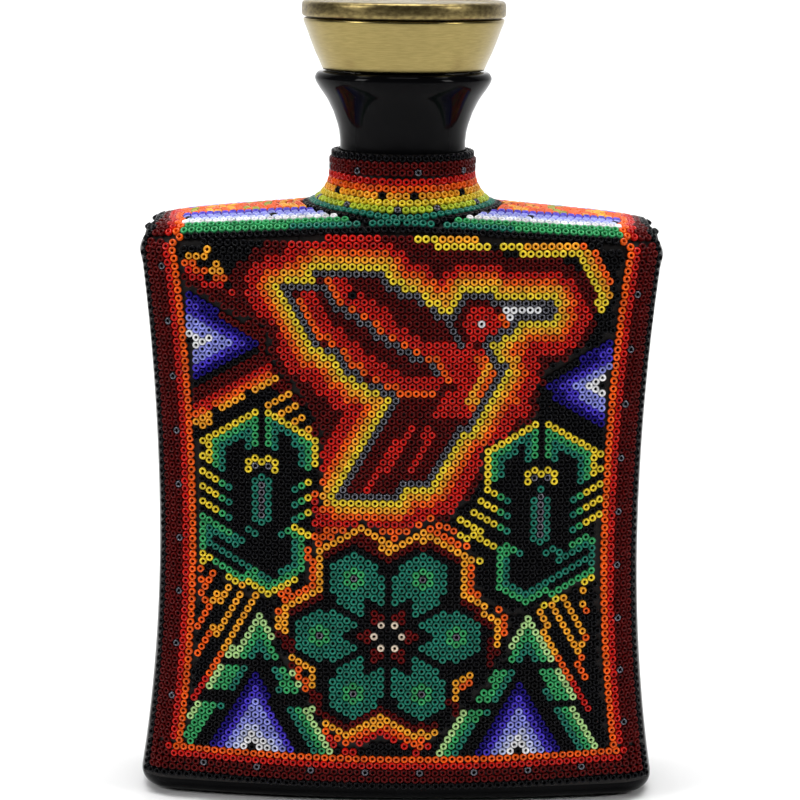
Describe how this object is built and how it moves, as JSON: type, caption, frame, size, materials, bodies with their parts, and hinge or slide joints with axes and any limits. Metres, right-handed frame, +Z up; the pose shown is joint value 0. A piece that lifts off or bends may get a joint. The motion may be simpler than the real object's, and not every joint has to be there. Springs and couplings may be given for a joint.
{
  "type": "beaded glass decanter",
  "caption": "Flat waisted black glass decanter dressed in seed-bead pictures, with a flared brass stopper on a cork that lifts straight out of its neck.",
  "frame": {"origin": "centre of the footprint, on the plane the flask stands on", "axes": "+Z up along the neck, -Y out of the face with the bird, +X to that face's right"},
  "size_m": [0.1414, 0.0562, 0.216],
  "materials": {
    "black_glass": "glossy, opaque black",
    "beeswax": "dark resin and beeswax bed, only seen between beads",
    "beads_black": "shiny opaque seed beads",
    "beads_dark_red": "shiny opaque seed beads",
    "beads_red": "shiny opaque seed beads",
    "beads_orange": "shiny opaque seed beads",
    "beads_yellow": "shiny opaque seed beads",
    "beads_green": "shiny opaque seed beads",
    "beads_teal": "shiny opaque seed beads",
    "beads_blue": "shiny opaque seed beads",
    "beads_white": "shiny opaque seed beads",
    "brass": "satin brushed",
    "cork": "natural cork"
  },
  "bodies": {
    "bottle": {"glass_flask": "black_glass", "front_hummingbird": "beads_orange", "front_flower": "beads_teal", "front_left_triangle": "beads_blue", "front_right_triangle": "beads_blue", "front_left_sprout": "beads_green", "front_right_sprout": "beads_green", "front_left_mountain": "beads_green", "front_right_mountain": "beads_green", "front_ground": "beads_black", "front_left_border": "beads_dark_red", "front_right_border": "beads_dark_red", "front_bottom_border": "beads_red", "front_wax": "beeswax", "back_flower": "beads_teal", "back_left_mountain": "beads_green", "back_right_mountain": "beads_green", "back_ground": "beads_black", "back_left_border": "beads_dark_red", "back_right_border": "beads_dark_red", "back_bottom_border": "beads_red", "back_wax": "beeswax", "left_shoulder_front_green_stripe": "beads_green", "left_shoulder_back_green_stripe": "beads_green", "left_shoulder_front_white_stripe": "beads_white", "left_shoulder_back_white_stripe": "beads_white", "left_shoulder_front_violet_stripe": "beads_blue", "left_shoulder_back_violet_stripe": "beads_blue", "left_shoulder_ridge_stripe": "beads_orange", "left_shoulder_end": "beads_dark_red", "left_shoulder_wax": "beeswax", "right_shoulder_front_green_stripe": "beads_green", "right_shoulder_back_green_stripe": "beads_green", "right_shoulder_front_white_stripe": "beads_white", "right_shoulder_back_white_stripe": "beads_white", "right_shoulder_front_violet_stripe": "beads_blue", "right_shoulder_back_violet_stripe": "beads_blue", "right_shoulder_ridge_stripe": "beads_orange", "right_shoulder_end": "beads_dark_red", "right_shoulder_wax": "beeswax", "collar_foot_wax": "beeswax", "collar_foot_beads": "beads_teal", "neck_wax": "beeswax", "neck_black_course": "beads_black", "neck_dark_red_course": "beads_dark_red", "neck_red_course": "beads_red", "neck_orange_course": "beads_orange", "neck_yellow_course": "beads_yellow"},
    "stopper": {"stopper_cap": "brass", "stopper_disc": "brass", "stopper_cork": "cork"}
  },
  "joints": [
    {"name": "stopper_lift", "type": "slide", "parent": "bottle", "child": "stopper", "axis": [0, 0, 1], "range_m": [0, 0.045]}
  ]
}
